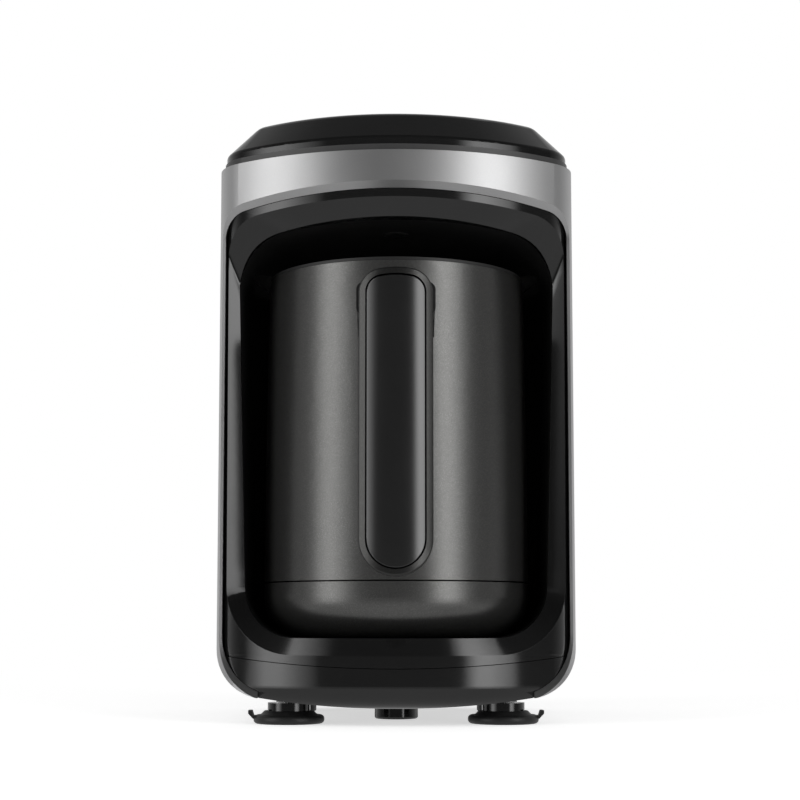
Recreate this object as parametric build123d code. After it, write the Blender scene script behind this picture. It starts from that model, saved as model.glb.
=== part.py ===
"""Electric turkish coffee maker: a bowed casing round one tall chamber, and a pull-out heated pot.

Everything is drawn about the pot's upright axis, with the front towards -Y and the table at Z = 0, and is
moved along Y at the end so that the origin lies under the middle of the whole machine. Millimetres.
"""

import os
from math import sqrt

from build123d import *

# ---- gaps between pieces ----
SEAM = 0.25  # between housing pieces that meet at a visible joint
TOUCH = 0.05  # between pieces that are pressed or screwed together
SLIDE = 0.4  # round the moving pot and the buttons
BORE_FIT = 0.1  # round a screw in its hole, on the radius

# ---- drawing allowances ----
CUT = 5.0  # how far a cutter runs past what it cuts
END_EASE = 0.05  # a round end's radius falls short of half the width by this

# ---- pot ----
POT_R = 57.0  # outside, at the parting line of the base cap
POT_BARREL = 0.5  # narrower by this half way up
POT_TAPER = 1.6  # and by this under the rim
POT_CAP_H = 22.9  # base cap, up to the parting line
POT_BODY_H = 132.2  # from the parting line to the rim
POT_WALL = 1.8
POT_GROOVE = 0.6  # height of the shadow line between cap and body
CAP_EASE = 6.0  # the cap's foot corner is tighter than the chamber's by this
CAP_WALL = 2.2
VESSEL_GAP = 4.9  # from the pot's outside to the vessel's, at the rim
VESSEL_WALL = 0.9
VESSEL_CORNER_R = 9.0
RIM_T = 1.2  # rolled steel rim over the outer body
RIM_LAP = 0.1

# ---- pouring lips ----
LIP_OUT = 6.9  # past the rim
LIP_RISE = 3.0  # tip above the rim
LIP_ROOT_DEPTH = 6.6  # below the rim, at the wall
LIP_TIP_DEPTH = 2.6
LIP_ROOT_HALF = 14.0
LIP_TIP_HALF = 4.4
LIP_KEEL = 0.25  # keel half width as a share of the mouth's
LIP_WALL = 1.5
LIP_ROOT = 2.0  # root, outside the vessel's wall
LIP_NOTCH_HALF = 6.0  # notch through the vessel's wall
LIP_NOTCH_DEPTH = 1.4
LIP_OPEN_RISE = 4.0  # its channel's cutter, above the lip
LIP_OPEN_REACH = 2.0  # and past its tip
LIP_OVERLAP = 0.5  # notch and channel overlap by this

# ---- heater in the base cap ----
PLATE_INSET = 6.5  # narrower than the vessel
PLATE_T = 4.0
ELEMENT_INSET = 14.0  # its middle line, inside the plate's edge
ELEMENT_WIRE_R = 3.2
ELEMENT_SWEEP = 300.0
THERMOSTAT_R = 9.0
THERMOSTAT_H = 7.0

# ---- plug at the back of the pot, and its socket ----
PLUG_Z = 12.2  # above the pot's underside
PLUG_W = 27.0
PLUG_H = 15.0
PLUG_DEPTH = 13.0
PLUG_WALL = 1.8
PLUG_PROUD = 1.4  # past the cap
PLUG_CORNER_R = 4.0
PIN_R = 1.5
PIN_LEN = 8.0
PIN_PITCH = 7.0
CONTACT_WALL = 0.6
CONTACT_SET_BACK = 1.0  # behind the nose's end
CONTACT_FLOOR = 1.5
SOCKET_NOSE = 8.5  # how far the socket's nose goes into the plug
SOCKET_NOSE_R = 2.5
SOCKET_FLANGE = 2.0
SOCKET_FLANGE_SIDE = 4.0  # wider than the plug
SOCKET_FLANGE_R = 3.0

# ---- handle ----
GRIP_W = 28.7
GRIP_T = 13.4
GRIP_LOW = 23.5  # above the pot's underside
GRIP_DROP = 13.1  # from the rim to its top
GRIP_TOP_R = 9.0
GRIP_TOP_BOW = 42.0
GRIP_BACK_R = 4.5
FINGER_GAP = 28.0
FACE_CROWN = 4.4  # the face falls back by this at its sides
TRIM_T = 6.6
TRIM_W = 2.6
TRIM_EDGE_R = 0.8
GROOVE = 0.5  # between trim and panel
BRACKET_W = 31.0
BRACKET_H = 13.0
BRACKET_DROP = 16.5  # from the rim to its top
BRACKET_SWELL = 5.0  # extra height where it meets the pot
BRACKET_EDGE_R = 3.0
BRACKET_ROOT = 4.0  # its end, inside the pot's outline before it is trimmed to it

# ---- chamber and front frame ----
POT_SEAT = 0.3  # running gap under the pot
SIDE_ROOM = 9.9  # pot to chamber opening, each side, at the top
FLOOR_ROOM = 5.4  # the same at the floor, where the opening is narrower
HEADROOM = 16.5  # pot rim to the crown of the opening
REAR_ROOM = 10.5  # pot to the chamber's back wall
OPENING_R = 22.0
LINER_WALL = 2.2
FACET_DEPTH = 6.5
FACET_SIDE = 4.4
FACET_EDGE = 6.8  # above and below the opening
BEZEL_T = 9.0
ARCH_BEVEL = 2.6  # 45 degree bevel on the silver, all round the frame
FRAME_RIM = 5.2  # opening to silver, each side
FRAME_TOP = 10.7  # opening to silver, at the crown
FRAME_DEPTH = 44.0  # how far the frame reaches back
FRAME_SILL = 2.0  # its foot, above the casing's underside
FRAME_CORNER_R = 10.0
ARCH_DROP = 0.25  # the arches sink by this share of the bow

# ---- casing ----
FRONT_ROOM = 7.0  # pot to the casing's front
BOW_R = 110.0
FRONT_CORNER_R = 22.0
REAR_CORNER_R = 25.0
SHELL_LIP = 2.9  # silver seen beside the frame
SHELL_WALL = 2.8
SKIRT_R = 22.0  # lower edge corner
CROWN_R = 400.0  # underside
SKIRT_RUN = 3.0  # how far the silver goes on under the casing, past its corner
GROUND_GAP = 7.0
BASE_H = 28.0  # underside to chamber floor
BAND_H = 15.3  # silver band above the frame
REAR_BAY = 23.5  # between chamber and rear cover
UNDER_EDGE = 7.6  # height of the tray's edge under the skirt
SEAM_Z = 16.0  # tray parting line above the underside, mid front
SEAM_BOW = 541.0
TRAY_WALL = 2.4
FOOT_ROLL = 9.0  # rounding along the tray's front foot
VENT_W = 3.0
VENT_LEN = 34.0
VENT_PITCH = 8.0
VENT_COUNT = 5
VENT_DROP = 4.0  # top slot below the chamber's roof
VENT_GAP = 6.0  # between the centre foot and the tray's slots

# ---- lid ----
TRIM_BAND_H = 2.9
TRIM_BAND_INSET = 1.8
LID_INSET = 2.4
LID_RIM_H = 3.3
LID_SLOPE = 14.3
LID_WALL = 2.6
LID_EDGE_R = 8.0
LID_RIM_R = 2.0
LID_INNER_DROP = 1.0  # the hollow's slope starts this far below the lid's
TRIM_SKIRT_H = 5.0  # the strip's skirt, down inside the shell
TRIM_SKIRT_T = 2.2

# ---- buttons and electronics ----
BUTTON_W = 22.0
BUTTON_D = 12.0
BUTTON_PITCH = 32.0
BUTTON_TRAVEL = 0.8
BUTTON_STAND = 0.4  # still proud of the lid when pressed
BUTTON_FLANGE = 1.2
BUTTON_FLANGE_T = 1.2
BUTTON_Y = 8.0
STEM_R = 3.5
STEM_H = 2.4
DOME_FOOT_R = 4.6
DOME_H = 3.4
DOME_WALL = 0.9
BOARD_T = 1.6
LENS_R = 1.6
LENS_AHEAD = 12.0  # in front of the buttons
LED_H = 1.2
LED_W = 3.0
LED_D = 2.0
BUZZER_R = 6.0
BUZZER_H = 5.5
BUZZER_INSET = 2.0  # from the board's rear edge
CONTROL_W = 84.0
CONTROL_D = 56.0
CHASSIS_T = 2.5
CHASSIS_LIFT = 11.0  # plate above the chamber's roof
CHASSIS_ROOM = 2.2  # from the casing's wall
WIRING_W = 40.0
WIRING_D = 8.0
WINDOW_R = 6.0
WINDOW_PROUD = 0.4
SENSOR_W = 26.0
SENSOR_D = 16.0
SENSOR_H = 7.5
SENSOR_Y = -22.0
TRANSFORMER = (0.0, 12.0, 30.0, 26.0, 15.0)  # place across and up the power board, width, height, depth
RELAY = (-8.0, 48.0, 16.0, 19.0, 14.0)
CAPACITOR = (12.0, 48.0, 9.0, 18.0, 13.0)
POWER_W = 54.0
POWER_H = 96.0
POWER_Z = 70.0  # board's foot above the chamber floor
POWER_LEADS = 3.0

# ---- screws and posts ----
SCREW_R = 1.5
HEAD_R = 2.8
HEAD_H = 2.0
LOW_HEAD_H = 1.2  # of the two screws inside the pot's wall
SCREW_BITE = 6.0  # how far clamp and board screws reach into their posts
POST_R = 4.0
BOARD_POST_R = 3.0
TRAY_POST_R = 5.0
BASE_HEAD_LIFT = 9.0  # seat of the base screws, above the underside
BASE_SCREW_X = 38.0
BASE_SCREW_FRONT = -8.0
BASE_SCREW_REAR = 45.0
CHASSIS_SCREW_X = 24.0
CHASSIS_SCREW_FRONT = -12.0
CHASSIS_SCREW_REAR = 46.0
LID_SCREW_X = 52.0
LID_SCREW_FRONT = -18.0
LID_SCREW_REAR = 62.0
COVER_HALF = 46.0
COVER_LEDGE = 3.2
COVER_DROP = 12.0  # foot of the cover below the chamber floor
COVER_CREST = 6.0  # its head below the front arch
COVER_CORNER_R = 8.0
COVER_SCREW_X = 34.0
COVER_SCREW_LOW = 26.0  # above the chamber floor
COVER_SCREW_HIGH = 150.0

# ---- cord inlet ----
INLET_RISE = 14.0  # above the foot of the rear cover
INLET_BORE_R = 3.6
GLAND_R = 7.0
GLAND_PROUD = 9.0
GLAND_FLANGE_R = 9.5
GLAND_TAIL = 4.0  # inside the rear wall
CLAMP_W = 26.0
CLAMP_D = 9.0
CLAMP_T = 4.0
CLAMP_POST_H = 14.0

# ---- feet ----
CUP_R = 14.6
CUP_H = 5.2
CUP_INSET = 30.8  # from the casing's side
CUP_SET_BACK = 33.0  # from the casing's front
CUP_HOLLOW = 2.2  # depth of the suction hollow
CUP_BRIM_R = 1.6  # rounding of the cup's brim
CUP_POST_R = 8.8
CUP_COLLAR = 1.4  # cup's collar, wider than its post
TAB_REACH = 2.0  # past the brim
TAB_W = 7.0
TAB_T = 1.3
TAB_RISE = 1.8  # tip above the brim
STUB_R = 9.4
STUB_INSET = 28.0  # from the casing's side
STUB_SET_BACK = 31.0  # from the casing's rear
STUB_LIP = 1.0
SPIGOT = 5.0  # how far the feet's spigots go up past the casing's underside
CENTRE_FOOT_Y = 4.0

# ---- levels and stations that follow from the sizes ----
POT_MID_R = POT_R - POT_BARREL
POT_RIM_R = POT_R - POT_TAPER
VESSEL_R = POT_RIM_R - VESSEL_GAP
PLATE_R = VESSEL_R - PLATE_INSET
ELEMENT_R = PLATE_R - ELEMENT_INSET
OPENING_HALF = POT_R + SIDE_ROOM
FLOOR_HALF = POT_R + FLOOR_ROOM
CAP_CORNER_R = OPENING_R - CAP_EASE
FRAME_HALF = OPENING_HALF + FRAME_RIM
BODY_HALF = FRAME_HALF + SHELL_LIP
FRONT = -(POT_R + FRONT_ROOM)
CHAMBER_R = POT_R + REAR_ROOM
REAR = CHAMBER_R + LINER_WALL + REAR_BAY + SHELL_WALL
CUP_X = BODY_HALF - CUP_INSET
CUP_Y = FRONT + CUP_SET_BACK
STUB_X = BODY_HALF - STUB_INSET
STUB_Y = REAR - STUB_SET_BACK
FLOOR_Z = GROUND_GAP + BASE_H
POT_Z = FLOOR_Z + POT_SEAT
PARTING_Z = POT_Z + POT_CAP_H
RIM_Z = PARTING_Z + POT_BODY_H
ROOF_Z = RIM_Z + HEADROOM
FRAME_Z = ROOF_Z + FRAME_TOP
SHELL_Z = FRAME_Z + BAND_H
LID_Z = SHELL_Z + TRIM_BAND_H
SLOPE_Z = LID_Z + LID_RIM_H
TOP_Z = SLOPE_Z + LID_SLOPE
LID_UNDER_Z = TOP_Z - LID_WALL
BUTTON_PROUD = BUTTON_TRAVEL + BUTTON_STAND
LINER_TOP_Z = ROOF_Z + LINER_WALL
CHASSIS_Z = LINER_TOP_Z + CHASSIS_LIFT
FRAME_BACK = FRONT + FRAME_DEPTH
GRIP_H = RIM_Z - GRIP_DROP - POT_Z - GRIP_LOW
HANDLE_REACH = POT_R + FINGER_GAP + GRIP_T
REAR_REACH = REAR + GLAND_PROUD
POT_Y = (HANDLE_REACH - REAR_REACH) / 2

UP = (Align.CENTER, Align.CENTER, Align.MIN)


# ---- drawing helpers ----
def panel(half_low, half_high, low, high, low_bow=None, high_bow=None, low_r=None, high_r=None):
    """Upright panel outline; an edge with a bow radius swells outwards, and each pair of corners is rounded."""
    points = [(-half_low, low), (half_low, low), (half_high, high), (-half_high, high)]
    outline = make_face(Polyline(*points, close=True))
    if low_bow:
        arch = Circle(low_bow) + Rectangle(2 * low_bow, 2 * (high - low), align=(Align.CENTER, Align.MIN))
        outline &= Pos(0, low + low_bow) * arch
    if high_bow:
        arch = Circle(high_bow) + Rectangle(2 * high_bow, 2 * (high - low), align=(Align.CENTER, Align.MAX))
        outline &= Pos(0, high - high_bow) * arch
    if low_r:
        outline = fillet(outline.vertices().sort_by(Axis.Y)[:2], low_r)
    if high_r:
        outline = fillet(outline.vertices().sort_by(Axis.Y)[-2:], high_r)
    return outline


def along_z(outline, z0, z1):
    """Prism of an X-Y outline between two heights."""
    return extrude(Pos(0, 0, z0) * outline, z1 - z0)


def along_y(outline, y0, y1):
    """Prism of an X-Z outline between two depths."""
    return extrude(Plane.XZ.offset(-y1) * outline, y1 - y0)


def disc(radius, z0, z1, x=0.0, y=0.0):
    """Upright cylinder between two heights."""
    return Pos(x, y, z0) * Cylinder(radius, z1 - z0, align=UP)


def rod(radius, y0, y1, x, z):
    """Cylinder along Y between two depths."""
    return Pos(x, y0, z) * Rot(-90, 0, 0) * Cylinder(radius, y1 - y0, align=UP)


def block(x0, x1, y0, y1, z0, z1):
    """Box between two corners."""
    return Pos((x0 + x1) / 2, (y0 + y1) / 2, (z0 + z1) / 2) * Box(x1 - x0, y1 - y0, z1 - z0)


def turned(points):
    """Solid of revolution about the pot's axis from (radius, height) points."""
    return revolve(Plane.XZ * make_face(Polyline(*points, close=True)), Axis.Z)


def both_sides(solid):
    """The solid and its mirror image across the middle plane."""
    return [solid, mirror(solid, Plane.YZ)]


def corners(x, y_front, y_rear):
    """Four places, left and right, front and rear."""
    return [(side * x, y) for side in (-1, 1) for y in (y_front, y_rear)]


def screw_up(z0, z1, x, y):
    """Screw driven upwards, with the underside of its head at z0."""
    return disc(HEAD_R, z0 - HEAD_H, z0, x, y) + disc(SCREW_R, z0, z1, x, y)


def screw_down(z0, z1, x, y):
    """Screw driven downwards, with the underside of its head at z1."""
    return disc(HEAD_R, z1, z1 + HEAD_H, x, y) + disc(SCREW_R, z0, z1, x, y)


# ---- outlines shared by several pieces ----
def body_plan(inset=0.0):
    """Plan of the casing: bowed front, straight sides, rounded corners."""
    half = BODY_HALF - inset
    return panel(half, half, FRONT + inset, REAR - inset, low_bow=BOW_R - inset,
                 low_r=FRONT_CORNER_R - inset, high_r=REAR_CORNER_R - inset)


def body_front(inset=0.0):
    """Front view of the casing: straight sides, rounded skirt, crowned underside."""
    half = BODY_HALF - inset
    return panel(half, half, GROUND_GAP + inset, TOP_Z, low_bow=CROWN_R - inset, low_r=SKIRT_R - inset)


def body_form(inset, top):
    """Everything inside the casing's skin moved in by inset, up to a height."""
    return along_z(body_plan(inset), 0, top) & along_y(body_front(inset), FRONT - 1, REAR + 1)


def behind_bow(inset):
    """Upright cylinder whose front is the bowed face moved in by inset."""
    return disc(BOW_R - inset, 0, TOP_Z, 0, FRONT + BOW_R)


def rolled_bow(inset):
    """The same cylinder standing on the underside, with a rounded foot."""
    drum = disc(BOW_R - inset, GROUND_GAP, TOP_Z, 0, FRONT + BOW_R)
    return fillet(drum.edges().sort_by(Axis.Z)[0], FOOT_ROLL)


def face_depth(x, inset):
    """Depth (Y) of the casing's face at a distance from the middle plane."""
    reach = BOW_R - FRONT_CORNER_R
    corner_x = BODY_HALF - FRONT_CORNER_R
    corner_y = FRONT + BOW_R - sqrt(reach**2 - corner_x**2)
    if x <= corner_x * BOW_R / reach:
        return FRONT + BOW_R - sqrt((BOW_R - inset) ** 2 - x**2)
    return corner_y - sqrt((FRONT_CORNER_R - inset) ** 2 - (x - corner_x) ** 2)


def frame_outline(inset=0.0):
    """Front view of the black frame inside the silver lip."""
    half = FRAME_HALF - inset
    sill = GROUND_GAP + FRAME_SILL + inset
    return panel(half, half, sill, FRAME_Z - inset, CROWN_R, BOW_R / ARCH_DROP,
                 SKIRT_R + FRAME_SILL - inset, FRAME_CORNER_R - inset)


def opening_outline(outset=0.0):
    """Front view of the chamber's opening; it narrows towards the floor."""
    return panel(FLOOR_HALF + outset, OPENING_HALF + outset, FLOOR_Z - outset,
                 ROOF_Z + outset, None, BOW_R / ARCH_DROP, OPENING_R + outset, OPENING_R + outset)


def flare(half_low, half_high, low, high, radius, inset, depth, side, edge):
    """Cutter that leaves a sloped facet of even depth round an opening in the bowed face.

    It widens towards the front in proportion to depth, and its upper and lower edges are bent the other way
    from the bow, so that the facet keeps its width while the face falls back.
    """
    side_slope, edge_slope = side / depth, edge / depth
    middle = face_depth(0, inset) + depth
    flank = face_depth(half_high, inset) + depth
    top_bend = BOW_R / (edge_slope - ARCH_DROP)
    foot_bend = BOW_R / edge_slope
    sections = []
    for y in (FRONT - 1, flank - depth / 4):
        wide = side_slope * (flank - y)
        tall = edge_slope * (middle - y)
        crest, sill = high + tall, low - tall
        reach = (half_high + wide) ** 2 / 2 * (1 / foot_bend + 1 / top_bend)
        outline = panel(half_low + wide, half_high + wide, sill - reach, crest + reach)
        outline -= Pos(0, crest + top_bend) * Circle(top_bend)
        outline -= Pos(0, sill - foot_bend) * Circle(foot_bend)
        outline = fillet(outline.vertices(), radius)
        sections.append(Plane.XZ.offset(-y) * outline)
    return loft(sections, ruled=True)


def below_seam(drop):
    """Everything under the tray's parting line, which sags in the middle."""
    seam = GROUND_GAP + SEAM_Z - drop
    region = Rectangle(4 * BODY_HALF, 4 * SEAM_Z, align=(Align.CENTER, Align.MIN))
    region -= Pos(0, seam + SEAM_BOW) * Circle(SEAM_BOW)
    return along_y(region, FRONT - CUT, REAR + CUT)


# ---- casing ----
def outer_shell():
    """Silver wrap: front band, both sides, the rounded skirt and the rim of the rear wall."""
    shell = body_form(0, SHELL_Z) - body_form(SHELL_WALL, SHELL_Z + 1)
    skirt_end = BODY_HALF - SKIRT_R + SKIRT_RUN
    shell -= block(-skirt_end, skirt_end, FRONT - CUT, REAR + CUT, 0, GROUND_GAP + UNDER_EDGE)
    shell -= along_y(frame_outline(), FRONT - CUT, FRAME_BACK)
    front = shell.edges().filter_by(lambda edge: abs(edge.center().Y - FRONT) < TOUCH)
    shell = chamfer(front.filter_by(lambda edge: edge.center().Z < SHELL_Z - 1), ARCH_BEVEL)
    shell -= cover_prism(0, REAR - SHELL_WALL - 1, REAR + 1)
    shell -= cover_prism(COVER_LEDGE, REAR - SHELL_WALL / 2, REAR + 1)
    return shell


def cover_prism(grow, y0, y1):
    """Rounded rectangle of the rear opening, larger all round by grow."""
    half = COVER_HALF + grow
    low, high = FLOOR_Z - COVER_DROP - grow, FRAME_Z - COVER_CREST + grow
    radius = COVER_CORNER_R + grow
    return along_y(panel(half, half, low, high, low_r=radius, high_r=radius), y0, y1)


def rear_cover():
    """Black plug-in panel with a stepped edge, vent slots and countersunk screw seats."""
    cover = cover_prism(-SEAM, REAR - SHELL_WALL, REAR - SHELL_WALL / 2)
    cover += cover_prism(COVER_LEDGE - SEAM, REAR - SHELL_WALL / 2 + TOUCH, REAR)
    cover += cover_prism(-SEAM, REAR - SHELL_WALL / 2, REAR - SHELL_WALL / 2 + TOUCH)
    for step in range(VENT_COUNT):
        z = ROOF_Z - VENT_DROP - step * VENT_PITCH
        slot = panel(VENT_LEN / 2, VENT_LEN / 2, z, z + VENT_W, low_r=VENT_W / 2 - END_EASE, high_r=None)
        cover -= along_y(slot, REAR - SHELL_WALL - 1, REAR + 1)
    cover -= rod(GLAND_R + TOUCH, REAR - SHELL_WALL - 1, REAR + 1, 0, gland_level())
    for x, z in cover_screw_places():
        cover -= rod(HEAD_R + BORE_FIT, REAR - SHELL_WALL / 2, REAR + 1, x, z)
        cover -= rod(SCREW_R + BORE_FIT, REAR - SHELL_WALL - 1, REAR, x, z)
    return cover


def cover_screw_places():
    """X and Z of the rear cover's four screws."""
    levels = (COVER_SCREW_LOW, COVER_SCREW_HIGH)
    return [(side * COVER_SCREW_X, FLOOR_Z + rise) for side in (-1, 1) for rise in levels]


def front_bezel():
    """Gloss frame: bowed face, sloped facet round the opening, foot cut along the parting line."""
    bezel = along_z(body_plan(ARCH_BEVEL), GROUND_GAP, FRAME_Z)
    bezel &= along_y(frame_outline(SEAM), FRONT - 1, FRAME_BACK - SEAM)
    bezel -= behind_bow(ARCH_BEVEL + BEZEL_T)
    bezel -= along_y(opening_outline(), FRONT - 1, FRAME_BACK)
    bezel -= flare(FLOOR_HALF, OPENING_HALF, FLOOR_Z, ROOF_Z, OPENING_R, ARCH_BEVEL,
                   FACET_DEPTH, FACET_SIDE, FACET_EDGE)
    return bezel - below_seam(-SEAM / 2)


def chamber_form(outset, y_back):
    """Chamber space: the opening's outline run back to a round rear wall."""
    plan = Circle(CHAMBER_R + outset) + Rectangle(2 * (CHAMBER_R + outset), 2 * CHAMBER_R,
                                                  align=(Align.CENTER, Align.MAX))
    return along_y(opening_outline(outset), FRONT, y_back) & along_z(plan, 0, TOP_Z)


def chamber_liner():
    """Moulded chamber: floor, sides, round rear wall and roof, with posts for its neighbours."""
    back = CHAMBER_R + LINER_WALL + 1
    liner = chamber_form(LINER_WALL, back)
    for x, y in corners(BASE_SCREW_X, BASE_SCREW_FRONT, BASE_SCREW_REAR):
        liner += disc(POST_R, base_joint_z(), FLOOR_Z, x, y)
    for x, y in corners(CHASSIS_SCREW_X, CHASSIS_SCREW_FRONT, CHASSIS_SCREW_REAR):
        liner += disc(POST_R, ROOF_Z - LINER_WALL, CHASSIS_Z, x, y)
    for x, z in cover_screw_places():
        liner += rod(POST_R, CHAMBER_R / 2, REAR - SHELL_WALL - TOUCH, x, z)
    for x, z in power_places():
        liner += rod(BOARD_POST_R, CHAMBER_R / 2, power_face(), x, z)
    liner -= chamber_form(0, back)
    liner &= behind_bow(ARCH_BEVEL + BEZEL_T + SEAM)
    liner -= disc(WINDOW_R + BORE_FIT, ROOF_Z - CUT, LINER_TOP_Z + 1, 0, SENSOR_Y)
    liner -= socket_nose(SLIDE / 2, CHAMBER_R - CUT, back)
    for x, y in corners(BASE_SCREW_X, BASE_SCREW_FRONT, BASE_SCREW_REAR):
        liner -= disc(SCREW_R + BORE_FIT, 0, FLOOR_Z - LINER_WALL / 2, x, y)
    for x, y in corners(CHASSIS_SCREW_X, CHASSIS_SCREW_FRONT, CHASSIS_SCREW_REAR):
        liner -= disc(SCREW_R + BORE_FIT, LINER_TOP_Z + 1, CHASSIS_Z + 1, x, y)
    for x, z in cover_screw_places():
        liner -= rod(SCREW_R + BORE_FIT, REAR - SHELL_WALL - cover_screw_grip() - 1, REAR, x, z)
    return liner


def cover_screw_grip():
    """How far the rear cover's screws reach into their posts."""
    return REAR_BAY / 2


def base_joint_z():
    """Height at which the liner's posts meet the tray's."""
    return FLOOR_Z - LINER_WALL - BASE_H / 3


def underside(half):
    """Upright strip of the front view, out to a distance each side."""
    return Rectangle(2 * half, 2 * FLOOR_Z)


def base_tray():
    """Gloss base: crowned floor, low walls, screw posts and vent slots."""
    edge = BODY_HALF - SKIRT_R + SKIRT_RUN - SEAM
    rim = GROUND_GAP + UNDER_EDGE - SEAM
    tray = body_form(SHELL_WALL + SEAM, FLOOR_Z)
    tray += along_z(body_plan(), 0, rim) & along_y(body_front() & underside(edge), FRONT - 1, REAR + 1)
    front = along_z(body_plan(ARCH_BEVEL), 0, FLOOR_Z) & along_y(body_front(), FRONT - 1, REAR)
    tray += front & along_y(frame_outline(SEAM), FRONT - 1, FRAME_BACK - SEAM)
    tray &= rolled_bow(ARCH_BEVEL)
    tray &= below_seam(SEAM / 2)
    tray -= body_form(SHELL_WALL + SEAM + TRAY_WALL, FLOOR_Z) & behind_bow(ARCH_BEVEL + BEZEL_T)
    for x, y in corners(BASE_SCREW_X, BASE_SCREW_FRONT, BASE_SCREW_REAR):
        tray += disc(TRAY_POST_R, tray_floor(x), base_joint_z() - TOUCH, x, y)
        tray -= disc(HEAD_R + BORE_FIT, 0, base_head_z(), x, y)
        tray -= disc(SCREW_R + BORE_FIT, 0, base_joint_z() + 1, x, y)
    for x in clamp_places():
        tray += disc(POST_R, tray_floor(0), clamp_foot(), x, clamp_y())
        tray -= disc(SCREW_R + BORE_FIT, clamp_foot() - SCREW_BITE - 1, clamp_foot() + 1, x, clamp_y())
    for x, y in foot_places():
        tray -= disc(SCREW_R + BORE_FIT, 0, FLOOR_Z, x, y)
    for step in range(VENT_COUNT):
        x = (step - (VENT_COUNT - 1) / 2) * VENT_PITCH
        y = CENTRE_FOOT_Y + STUB_R + VENT_GAP + VENT_LEN / 2
        tray -= block(x - VENT_W / 2, x + VENT_W / 2, y - VENT_LEN / 2, y + VENT_LEN / 2, 0, FLOOR_Z / 2)
    return tray


def tray_floor(x):
    """Level just above the casing's crowned underside, at a distance from the middle plane."""
    return GROUND_GAP + CROWN_R - sqrt(CROWN_R**2 - x**2) + TRAY_WALL / 4


def base_head_z():
    """Seat of the base screws' heads, up inside the tray's posts."""
    return GROUND_GAP + BASE_HEAD_LIFT


# ---- lid ----
def lid_trim():
    """Thin grey ring between shell and lid, with a skirt inside the shell."""
    ring = along_z(body_plan(TRIM_BAND_INSET), SHELL_Z, LID_Z)
    ring += along_z(body_plan(SHELL_WALL + SEAM), SHELL_Z - TRIM_SKIRT_H, SHELL_Z)
    hole = body_plan(SHELL_WALL + SEAM + TRIM_SKIRT_T)
    return ring - along_z(hole, SHELL_Z - TRIM_SKIRT_H - 1, LID_Z + 1)


def lid_form(inset, z0, rim_top, top):
    """Low rim with a 45 degree slope above it."""
    form = along_z(body_plan(LID_INSET + inset), z0, rim_top)
    return form + extrude(Pos(0, 0, rim_top) * body_plan(LID_INSET + inset), top - rim_top, taper=45)


def top_lid():
    """Gloss lid, hollow below, with button wells, lens holes and screw bosses."""
    lid = lid_form(0, LID_Z, SLOPE_Z, TOP_Z)
    lid = fillet(lid.faces().sort_by(Axis.Z)[-1].edges(), LID_EDGE_R)
    lid = fillet(lid.edges().filter_by(lambda edge: abs(edge.center().Z - SLOPE_Z) < TOUCH), LID_RIM_R)
    lid -= lid_form(LID_WALL, LID_Z - 1, SLOPE_Z - LID_INNER_DROP, LID_UNDER_Z)
    for x, y in lid_screw_places():
        boss = disc(POST_R, CHASSIS_Z + CHASSIS_T, TOP_Z - LID_WALL / 2, x, y)
        lid += boss & lid_form(LID_WALL / 2, CHASSIS_Z, SLOPE_Z, TOP_Z)
        lid -= disc(SCREW_R + BORE_FIT, CHASSIS_Z, LID_Z + LID_RIM_H, x, y)
    for x in button_places():
        lid -= button_prism(0, TOP_Z - 2 * LID_WALL, TOP_Z + 1, x, SLIDE / 2)
        lid -= disc(LENS_R + BORE_FIT, TOP_Z - 2 * LID_WALL, TOP_Z + 1, x, BUTTON_Y - LENS_AHEAD)
    return lid


def lid_screw_places():
    """X and Y of the lid's four screws."""
    return corners(LID_SCREW_X, LID_SCREW_FRONT, LID_SCREW_REAR)


# ---- buttons and control board ----
def button_places():
    """X of the three buttons."""
    return [step * BUTTON_PITCH for step in (-1, 0, 1)]


def button_prism(grow, z0, z1, x, gap=0.0):
    """Oblong with round ends, at a button's place."""
    wide, deep = BUTTON_W + 2 * (grow + gap), BUTTON_D + 2 * (grow + gap)
    return along_z(Pos(x, BUTTON_Y) * RectangleRounded(wide, deep, deep / 2 - END_EASE), z0, z1)


def button(x):
    """Key cap with a retaining flange under the lid and a stem on its dome."""
    flange_top = LID_UNDER_Z - SLIDE
    flange_low = flange_top - BUTTON_FLANGE_T
    cap = button_prism(0, flange_low, TOP_Z + BUTTON_PROUD, x)
    cap = fillet(cap.faces().sort_by(Axis.Z)[-1].edges(), BUTTON_PROUD / 2)
    cap += button_prism(BUTTON_FLANGE, flange_low, flange_top, x)
    return cap + disc(STEM_R, flange_low - STEM_H, flange_low, x, BUTTON_Y)


def stem_foot():
    """Height of the underside of a button's stem at rest."""
    return LID_UNDER_Z - SLIDE - BUTTON_FLANGE_T - STEM_H


def board_z():
    """Underside of the control board."""
    return stem_foot() - DOME_H - BOARD_T


def keypad_dome(x):
    """Silicone return dome between board and button stem."""
    foot, head = board_z() + BOARD_T, stem_foot()
    outer = Pos(x, BUTTON_Y, foot) * Cone(DOME_FOOT_R, STEM_R, head - foot, align=UP)
    hollow = Cone(DOME_FOOT_R - DOME_WALL, STEM_R - DOME_WALL, DOME_H - DOME_WALL, align=UP)
    return outer - Pos(x, BUTTON_Y, foot) * hollow


def control_board():
    """Circuit board under the lid."""
    y0 = BUTTON_Y - CONTROL_D / 2
    board = block(-CONTROL_W / 2, CONTROL_W / 2, y0, y0 + CONTROL_D, board_z(), board_z() + BOARD_T)
    for x, y in board_places():
        board -= disc(SCREW_R + BORE_FIT, board_z() - 1, board_z() + BOARD_T + 1, x, y)
    return board


def board_places():
    """X and Y of the control board's four posts."""
    x = CONTROL_W / 2 - POST_R
    return corners(x, BUTTON_Y - CONTROL_D / 2 + POST_R, BUTTON_Y + CONTROL_D / 2 - POST_R)


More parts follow.
